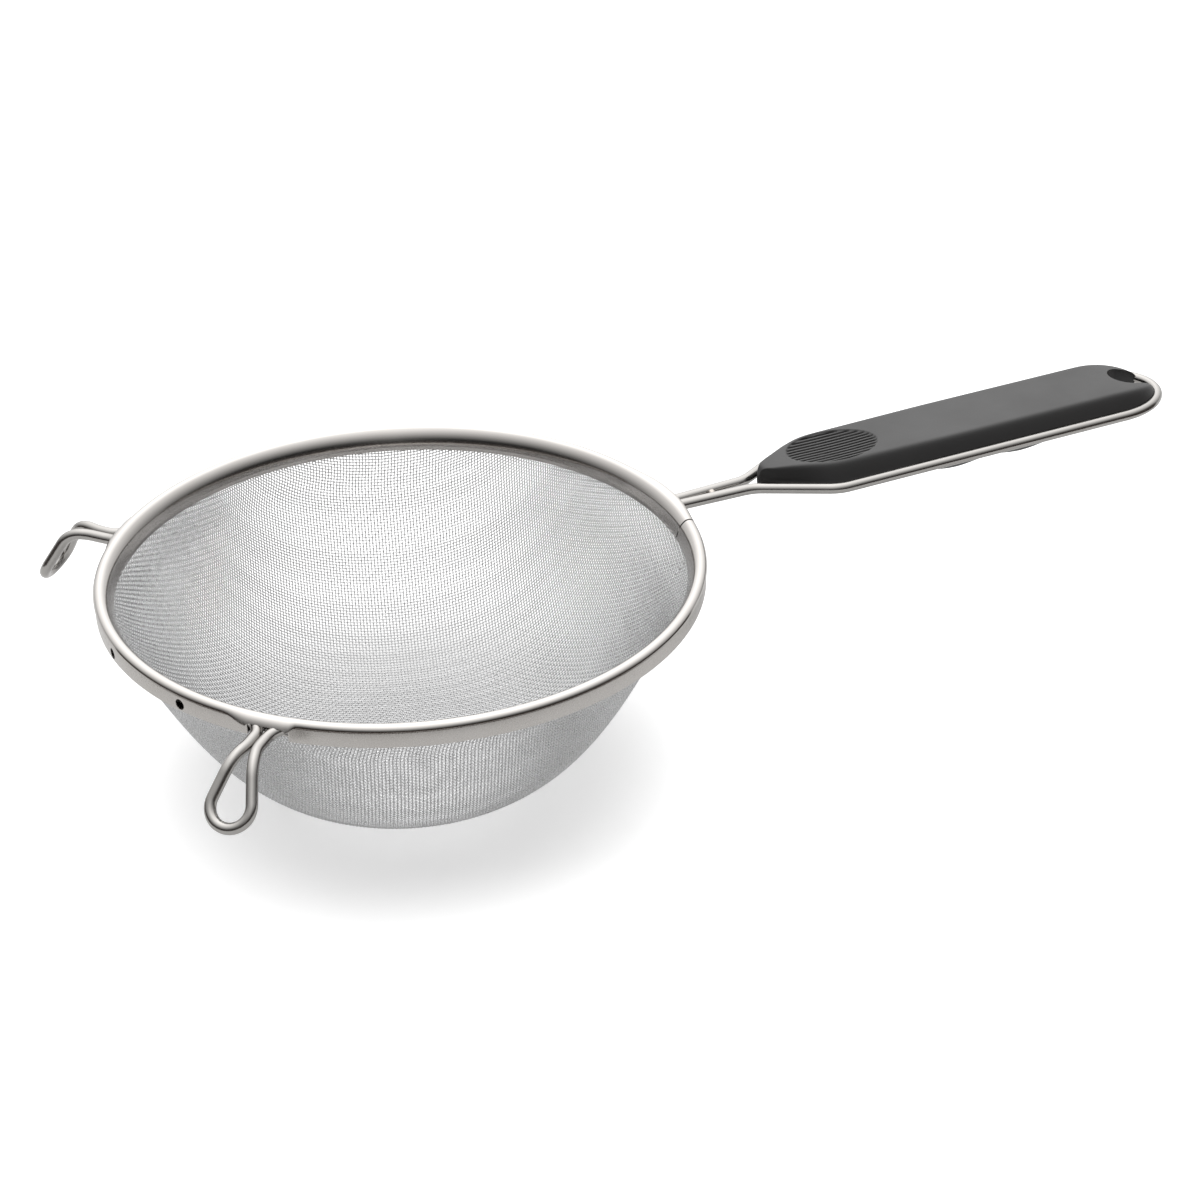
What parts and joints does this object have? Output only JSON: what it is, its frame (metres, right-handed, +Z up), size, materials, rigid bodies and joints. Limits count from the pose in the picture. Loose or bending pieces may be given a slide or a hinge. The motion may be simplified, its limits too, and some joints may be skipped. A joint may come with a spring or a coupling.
{
  "type": "fine mesh strainer",
  "caption": "Hand strainer with a deep woven wire bowl in a folded steel rim, a bent wire handle seated in a moulded grip, and wire hooks that rest on a pot's edge.",
  "frame": {"origin": "the middle of the flat on the underside of the bowl, on its outer surface", "axes": "+Z up out of the bowl's mouth, +X along the handle away from the bowl, +Y across the handle, to the left when looking from the bowl along the handle"},
  "size_m": [0.322, 0.1594, 0.0625],
  "materials": {
    "cloth": "woven wire, satin",
    "rim": "polished",
    "wire": "bright drawn",
    "grip": "fine satin"
  },
  "bodies": {
    "root": {"mesh_bowl": "cloth", "rim_band": "rim", "handle_wire": "wire", "hook_left": "wire", "hook_right": "wire", "neck_weld": "wire", "grip": "grip"}
  },
  "joints": []
}
